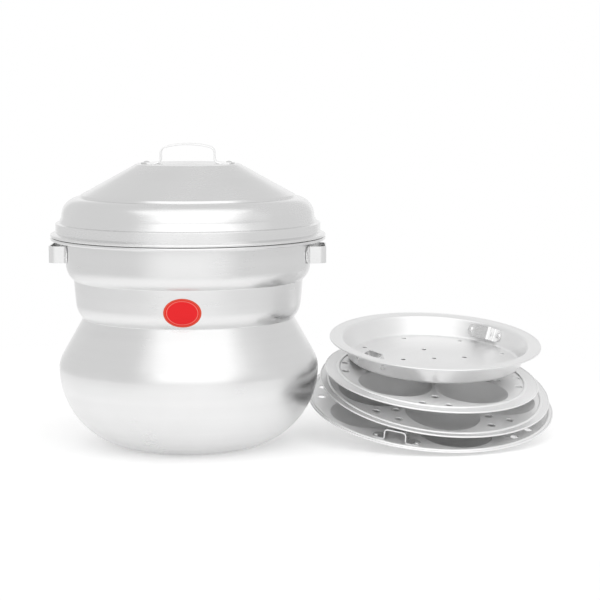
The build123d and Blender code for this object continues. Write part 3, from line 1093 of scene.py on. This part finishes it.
@dataclass(kw_only=True)
class LeaningSheet:
    """A round sheet with a rolled edge that leans on what lies under it."""

    node: str
    radius: float
    lean_front: float
    lean_right: float
    wall: float = 0.0012
    edge_radius: float = 0.0010
    vent_break: float = 0.0002

    def place(self) -> Matrix:
        """The sheet's own plane, found from the box of its CAD node and its lean.

        Returns:
            The plane, its origin in the middle of the sheet's top face.
        """
        front, right = math.sin(math.radians(self.lean_front)), math.sin(math.radians(self.lean_right))
        up = Vector((right, -front, 1)).normalized()
        low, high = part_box(self.node)
        tilt = math.sqrt(1 - up.z**2)
        rim_height = high.z - self.edge_radius - (self.radius - self.edge_radius) * tilt
        middle = Vector(((low.x + high.x) / 2, (low.y + high.y) / 2, rim_height))
        return plane(middle + up * (self.wall / 2), Vector((0, 1, 0)).cross(up), up)

    def edge_line(self) -> Line:
        """The rolled edge, from the sheet's top face round to its underside.

        Returns:
            Pairs of radius and height.
        """
        middle = Vector((self.radius - self.edge_radius, -self.wall / 2))
        start = math.pi - math.asin(self.wall / 2 / self.edge_radius)
        return arc_line(middle, self.edge_radius, start + ARC_STEP, -start)

    def vent(self, radius: float, top: float) -> BMesh:
        """The wall of a hole, with its edges broken.

        Args:
            radius: radius of the hole.
            top: height of the sheet's top face.

        Returns:
            The mesh, round the hole's axis.
        """
        bm = bmesh.new()
        ring = RingPen(bm, radius + self.vent_break, top, VENT_STEPS)
        ring.step(radius, top - self.vent_break)
        ring.step(radius, top - self.wall + self.vent_break)
        ring.step(radius + self.vent_break, top - self.wall)
        return bm

    def fill(self, bm: BMesh, level: float, up: float) -> None:
        """Fills the flat between the open rings of edges at a level.

        Args:
            bm: the mesh of the sheet.
            level: height of the flat.
            up: 1 for a top face, -1 for an underside.
        """
        edges = [
            edge for edge in bm.edges
            if edge.is_boundary and all(abs(vert.co.z - level) < LEVEL_DISTANCE for vert in edge.verts)
        ]
        bmesh.ops.triangle_fill(bm, use_beauty=True, use_dissolve=False, edges=edges, normal=(0, 0, up))

    def close(self, bm: BMesh) -> BMesh:
        """Merges the poles, points the faces outwards and lays the sheet in its place.

        Args:
            bm: the mesh of the sheet.

        Returns:
            The same mesh, in place.
        """
        bmesh.ops.remove_doubles(bm, verts=bm.verts[:], dist=MERGE_DISTANCE)
        bmesh.ops.recalc_face_normals(bm, faces=bm.faces[:])
        bm.transform(self.place())
        return bm


@dataclass(kw_only=True)
class CupTray(LeaningSheet):
    """A pressed tray with cups in a circle, vents in the gaps between them and a ring bead."""

    body: Body
    ring_radius: float
    cup_circle: float
    cup_count: int
    first_cup: float
    cup_opening: float = 0.0405
    inner_vent: float
    outer_vent: float
    middle_opening: float = 0
    handle_turns: tuple = ()
    cup_depth: float = 0.0140
    cup_lip: float = 0.0009
    vent_radius: float = 0.0040
    vent_spacing: float = 0.0275
    ring_width: float = 0.0040
    ring_height: float = 0.0012

    def cups(self) -> list[tuple[Vector, float]]:
        """Middles and openings of the cups.

        Returns:
            Pairs of a middle and a radius.
        """
        turns = (self.first_cup + 360 * n / self.cup_count for n in range(self.cup_count))
        cups = [(around(self.cup_circle, turn), self.cup_opening) for turn in turns]
        return cups + [(Vector((0, 0, 0)), self.middle_opening)] if self.middle_opening else cups

    def vents(self) -> list[Vector]:
        """Middles of the vents, three in each gap that holds no handle.

        Returns:
            The middles.
        """
        spread = math.degrees(math.asin(self.vent_spacing / 2 / self.outer_vent))
        middles = []
        for n in range(self.cup_count):
            turn = self.first_cup + 360 * (n + 0.5) / self.cup_count
            if any(abs((turn - taken) % 360) < 1 for taken in self.handle_turns):
                continue
            middles.append(around(self.inner_vent, turn))
            middles += [around(self.outer_vent, turn - spread), around(self.outer_vent, turn + spread)]
        return middles

    def cup(self, opening: float, wall: float) -> BMesh:
        """One face of a cup, from its rim down to its pole.

        Args:
            opening: its radius at the tray's face.
            wall: 0 for the inner face, or the wall for the outer one.

        Returns:
            The mesh, round the cup's middle.
        """
        ball = (opening**2 + self.cup_depth**2) / (2 * self.cup_depth)
        centre = Vector((0, ball - self.cup_depth))
        bend = ball + wall
        lip = max(self.cup_lip - wall, SMALLEST_LIP)
        side = math.sqrt((bend + lip) ** 2 - (centre.y + wall + lip) ** 2)
        lean = math.atan2(-wall - lip - centre.y, side)
        bm = bmesh.new()
        rim = RingPen(bm, side, -wall, CUP_STEPS)
        rim.follow(arc_line(Vector((side, -wall - lip)), lip, math.pi / 2, math.pi + lean))
        steps = math.ceil(abs(-math.pi / 2 - lean) / CUP_ARC_STEP)
        angles = (lean + (-math.pi / 2 - lean) * n / steps for n in range(1, steps + 1))
        rim.follow([(max(bend * math.cos(a), 0), centre.y + bend * math.sin(a)) for a in angles])
        return bm

    def ring_line(self, level: float, outwards: bool) -> Line:
        """The arc of the ring bead at a level, drawn outwards or back inwards.

        Args:
            level: height of the face that the bead stands on.
            outwards: whether it is drawn outwards.

        Returns:
            Pairs of radius and height.
        """
        half = self.ring_width / 2
        bend = (half**2 + self.ring_height**2) / (2 * self.ring_height)
        middle = Vector((self.ring_radius, level + self.ring_height - bend))
        lean = math.asin(half / bend)
        start, end = math.pi / 2 + lean, math.pi / 2 - lean
        return arc_line(middle, bend, start, end) if outwards else arc_line(middle, bend, end, start)

    def mesh(self) -> BMesh:
        """The whole tray as one closed sheet, in place.

        Returns:
            The mesh.
        """
        bm = bmesh.new()
        half = self.ring_width / 2
        web = RingPen(bm, self.ring_radius - half, 0, SPIN_STEPS)
        web.follow(self.ring_line(0, True))
        web.follow(self.edge_line())
        web.step(self.ring_radius + half, -self.wall)
        web.follow(self.ring_line(-self.wall, False))
        for middle, opening in self.cups():
            for wall in (0, self.wall):
                merge_in(bm, self.cup(opening, wall), Matrix.Translation(middle))
        for middle in self.vents():
            merge_in(bm, self.vent(self.vent_radius, 0), Matrix.Translation(middle))
        self.fill(bm, 0, 1)
        self.fill(bm, -self.wall, -1)
        return self.close(bm)

    def make(self, metal: Aluminium) -> None:
        """Builds and dresses the tray."""
        name, finish = f"tray_{self.body.value}", metal.material(self.place())
        steady_shading(make_piece(self.mesh(), name, self.body, [self.node], finish))


@dataclass(kw_only=True)
class LargeTray(CupTray):
    """The largest tray, with a cup in its middle and two handles."""

    node: str = "large_tray"
    body: Body = Body.LARGE
    radius: float = 0.1360
    lean_front: float = 13.8
    lean_right: float = 3.9
    ring_radius: float = 0.1315
    cup_circle: float = 0.0850
    cup_count: int = 5
    first_cup: float = 16
    middle_opening: float = 0.0380
    inner_vent: float = 0.1030
    outer_vent: float = 0.1210
    handle_turns: tuple = (-20, 124)
    handle_radius: float = 0.1195

    def make_handles(self, strap: Aluminium, rivet: Aluminium) -> None:
        """Builds and dresses the tray's two handles.

        Args:
            strap: finish of the straps.
            rivet: finish of the rivets.
        """
        place = self.place()
        seats = []
        for turn in self.handle_turns:
            origin = place @ around(self.handle_radius, turn)
            tip = place @ (around(self.handle_radius, turn) + around(1, turn + 90))
            seats.append(plane(origin, tip - origin, place.col[2].xyz))
        make_inner_handles(InnerHandle(), seats, self.body, self.wall, strap, rivet)


@dataclass(kw_only=True)
class MediumTray(CupTray):
    """The tray in the middle of the stack."""

    node: str = "medium_tray"
    body: Body = Body.MEDIUM
    radius: float = 0.1275
    lean_front: float = 15.2
    lean_right: float = 6.1
    ring_radius: float = 0.1180
    cup_circle: float = 0.0718
    cup_count: int = 5
    first_cup: float = 5
    inner_vent: float = 0.0860
    outer_vent: float = 0.1050


@dataclass(kw_only=True)
class SmallTray(CupTray):
    """The smallest tray, under the pan."""

    node: str = "small_tray"
    body: Body = Body.SMALL
    radius: float = 0.1180
    lean_front: float = 10.0
    lean_right: float = 5.3
    ring_radius: float = 0.1030
    cup_circle: float = 0.0586
    cup_count: int = 4
    first_cup: float = 45
    cup_opening: float = 0.0400
    inner_vent: float = 0.0725
    outer_vent: float = 0.0960


@dataclass(kw_only=True)
class SteamingPan(LeaningSheet):
    """The shallow pan on top of the stack, with holes in its floor and two handles inside."""

    node: str = "pan_shell"
    radius: float = 0.1177
    lean_front: float = 7.7
    lean_right: float = 2.3
    mouth_radius: float = 0.1034
    floor_radius: float = 0.0950
    depth: float = 0.0225
    bend: float = 0.0040
    hole_radius: float = 0.0026
    hole_circles: tuple = ((0, 1, 0), (0.0360, 4, -75), (0.0840, 8, -159))
    handle_turns: tuple = (-48, 140)
    handle_foot: float = 0.012
    handle_width: float = 0.015
    handle_rivet_offset: float = 0.019
    foot_clearance: float = 0.0003

    def side_lean(self) -> float:
        """How far the wall leans out from the flat, as an angle."""
        return math.atan2(self.depth - self.wall, self.mouth_radius - self.floor_radius)

    def wall_line(self, shift: float) -> Line:
        """The line from the floor up to the flange, on the inner face or shifted down through the wall.

        Args:
            shift: 0 for the inner face, or the wall for the outer one.

        Returns:
            Pairs of radius and height.
        """
        lean = self.side_lean()
        floor = self.wall - self.depth
        setback = self.bend * math.tan(lean / 2)
        heel = Vector((self.floor_radius - setback, floor + self.bend))
        brow = Vector((self.mouth_radius + setback, -self.bend))
        low = arc_line(heel, self.bend + shift, -math.pi / 2, lean - math.pi / 2)
        high = arc_line(brow, self.bend - shift, lean + math.pi / 2, math.pi / 2)
        first = (brow.x + (self.bend - shift) * math.cos(lean + math.pi / 2),
                 brow.y + (self.bend - shift) * math.sin(lean + math.pi / 2))
        return [(heel.x, floor - shift), *low, first, *high]

    def mesh(self) -> BMesh:
        """The whole pan as one closed sheet, in place.

        Returns:
            The mesh.
        """
        bm = bmesh.new()
        floor = self.wall - self.depth
        inner, outer = self.wall_line(0), self.wall_line(self.wall)[::-1]
        web = RingPen(bm, inner[0][0], floor, SPIN_STEPS)
        web.follow(inner[1:])
        web.follow(self.edge_line())
        web.follow(outer)
        for circle, count, first in self.hole_circles:
            for n in range(count):
                middle = around(circle, first + 360 * n / count)
                merge_in(bm, self.vent(self.hole_radius, floor), Matrix.Translation(middle))
        self.fill(bm, floor, 1)
        self.fill(bm, floor - self.wall, -1)
        return self.close(bm)

    def handle_seat(self, turn: float) -> Matrix:
        """The plane on the inside of the wall where a handle stands.

        Args:
            turn: direction of the handle in degrees.

        Returns:
            The plane.
        """
        place = self.place()
        rise, run = self.depth - self.wall, self.mouth_radius - self.floor_radius
        spot = around((self.mouth_radius + self.floor_radius) / 2, turn, -rise / 2)
        inward = around(-rise, turn, run)
        turned = place.to_3x3()
        return plane(place @ spot, turned @ around(1, turn + 90), turned @ inward)

    def make(self, metal: Aluminium, strap: Aluminium, rivet: Aluminium) -> None:
        """Builds and dresses the pan, its handles and their rivets.

        Args:
            metal: finish of the sheet.
            strap: finish of the straps.
            rivet: finish of the rivets.
        """
        finish = metal.material(self.place())
        steady_shading(make_piece(self.mesh(), "steaming_pan", Body.PAN, [self.node], finish))
        rise, run = self.depth - self.wall, self.mouth_radius - self.floor_radius
        handle = InnerHandle(
            foot=self.handle_foot, width=self.handle_width, rivet_offset=self.handle_rivet_offset,
            bulge=-rise / math.hypot(rise, run) * 2 / (self.mouth_radius + self.floor_radius),
            slack=self.foot_clearance,
        )
        seats = [self.handle_seat(turn) for turn in self.handle_turns]
        make_inner_handles(handle, seats, Body.PAN, self.wall + self.foot_clearance, strap, rivet)


# Studio


@dataclass(frozen=True)
class SoftLamp:
    """A large soft lamp that looks at the object."""

    name: str
    turn: float
    rise: float
    distance: float
    width: float
    height: float
    level: float

    def make(self, target: Vector) -> None:
        """Hangs the lamp round a target, its level being the brightness of its face.

        Args:
            target: the point that it looks at.
        """
        light = bpy.data.lights.new(self.name, "AREA")
        light.shape = "RECTANGLE"
        light.size, light.size_y = self.width, self.height
        light.energy = self.level * math.pi * self.width * self.height
        lamp = bpy.data.objects.new(self.name, light)
        rise = math.radians(self.rise)
        away = around(math.cos(rise), self.turn, math.sin(rise))
        lamp.location = target + away * self.distance
        lamp.rotation_euler = away.to_track_quat("Z", "Y").to_euler()
        lamp.visible_camera = False
        bpy.context.scene.collection.objects.link(lamp)


@dataclass
class Studio:
    """A pale floor and room, soft lamps and the camera."""

    floor_radius: float = 0.85
    floor_fade: float = 0.60
    floor_edge: float = 0.02
    floor_drop: float = 0.0002
    floor_tone: float = 0.90
    floor_tone_range: float = 0.005
    floor_grain: float = 9.0
    floor_lift: float = 0.26
    room_level: float = 0.78
    front_level: float = 0.93
    front_span: tuple = (0.62, 0.90)
    backdrop_span: tuple = (0.88, 0.95)
    backdrop_level: float = 1.0
    camera_place: tuple = (0.1197, -2.137, 0.4132)
    camera_pitch: float = math.radians(6.87)
    lens: float = 120
    sensor: float = 36
    lamp_target: tuple = (0.0, 0.0, 0.15)
    lamps: tuple = (
        SoftLamp("front_softbox", turn=9, rise=35, distance=2.4, width=3.1, height=2.8, level=0.32),
        SoftLamp("front_spill", turn=9, rise=33, distance=2.5, width=4.7, height=3.2, level=0.17),
        SoftLamp("right_fill", turn=62, rise=30, distance=2.4, width=1.6, height=1.8, level=0.08),
        SoftLamp("top_front", turn=9, rise=76, distance=2.2, width=3.0, height=1.0, level=0.50),
    )

    def floor_material(self) -> bpy.types.Material:
        """A white paper floor that fades out into the room round it.

        Returns:
            The material.
        """
        graph = Graph(bpy.data.materials.new("paper_floor"))
        spot = graph.node("TexCoord").outputs["Object"]
        reach = graph.vector("LENGTH", spot).outputs["Value"]
        ray = graph.node("LightPath")
        seen = graph.math("MAXIMUM", ray.outputs["Is Camera Ray"], ray.outputs["Is Glossy Ray"])
        seen = graph.math("MAXIMUM", seen, ray.outputs["Is Transmission Ray"])
        grain = graph.node("TexNoise", {"Vector": spot, "Scale": self.floor_grain, "Detail": 3})
        low, high = self.floor_tone - self.floor_tone_range, self.floor_tone + self.floor_tone_range
        tone = graph.spread(grain.outputs[0], low, high)
        paper = graph.node("BsdfDiffuse", {"Color": graph.grey(tone)})
        glow = graph.node("Emission", {"Strength": graph.math("MULTIPLY", seen, self.floor_lift)})
        lit = graph.node("AddShader", {0: paper.outputs[0], 1: glow.outputs[0]})
        fade = graph.ramp(reach, self.floor_radius - self.floor_fade, self.floor_radius - self.floor_edge)
        clear = graph.node("BsdfTransparent")
        return graph.output(graph.node("MixShader", {0: fade, 1: lit.outputs[0], 2: clear.outputs[0]}))

    def make_floor(self) -> None:
        """Lays the floor under the object."""
        bm = bmesh.new()
        bmesh.ops.create_circle(
            bm, cap_ends=True, segments=FLOOR_STEPS, radius=self.floor_radius,
            matrix=Matrix.Translation((0, 0, -self.floor_drop)),
        )
        mesh = bpy.data.meshes.new("floor")
        bm.to_mesh(mesh)
        bm.free()
        floor = bpy.data.objects.new("floor", mesh)
        bpy.context.scene.collection.objects.link(floor)
        mesh.materials.append(self.floor_material())

    def make_room(self) -> None:
        """Gives the room a grey of its own, lighter in front of the object and white behind it."""
        graph = Graph(bpy.data.worlds.new("room"))
        parts = graph.node("SeparateXYZ", {0: graph.node("TexCoord").outputs["Generated"]}).outputs
        behind = graph.ramp(parts[1], *self.backdrop_span)
        before = graph.ramp(graph.math("MULTIPLY", parts[1], -1.0), *self.front_span)
        level = graph.spread(before, self.room_level, self.front_level)
        lift = graph.math("MULTIPLY", behind, self.backdrop_level - self.room_level)
        level = graph.math("ADD", level, lift)
        back = graph.node("Background", {"Color": (1, 1, 1, 1), "Strength": level})
        bpy.context.scene.world = graph.output(back)

    def make_camera(self) -> None:
        """Sets the camera at the photograph's place."""
        data = bpy.data.cameras.new("camera")
        data.lens, data.sensor_width = self.lens, self.sensor
        camera = bpy.data.objects.new("camera", data)
        camera.location = self.camera_place
        camera.rotation_euler = (math.pi / 2 - self.camera_pitch, 0, 0)
        bpy.context.scene.collection.objects.link(camera)
        bpy.context.scene.camera = camera

    def make(self) -> None:
        """Builds the whole studio."""
        self.make_floor()
        self.make_room()
        for lamp in self.lamps:
            lamp.make(Vector(self.lamp_target))
        self.make_camera()
        bpy.context.scene.view_settings.view_transform = "Standard"


def main() -> None:
    """Builds the steamer and its studio."""
    logging.basicConfig(level=logging.INFO, format="%(message)s")
    spun = Aluminium("spun_aluminium")
    lid_metal = Aluminium("lid_aluminium", roughness=0.26)
    pan_metal = Aluminium(
        "pressed_aluminium_pan", tone=0.88, roughness=0.34, metallic=0.8, anisotropy=0.2, mark_depth=0.000012
    )
    strap = Aluminium("drawn_strap", tone=0.86, roughness=0.26, mark_spacing=0.0006, mark_depth=0.000008)
    rivet = Aluminium("rivet_metal", roughness=0.2, mark_depth=0.000004)

    Pot().make(spun, strap, rivet)
    Lid().make(lid_metal, strap, rivet)
    large = LargeTray()
    large.make(PressedAluminium("pressed_aluminium_large"))
    large.make_handles(strap, rivet)
    MediumTray().make(PressedAluminium("pressed_aluminium_medium"))
    SmallTray().make(PressedAluminium("pressed_aluminium_small"))
    SteamingPan().make(pan_metal, strap, rivet)
    Studio().make()


if __name__ == "__main__":
    main()
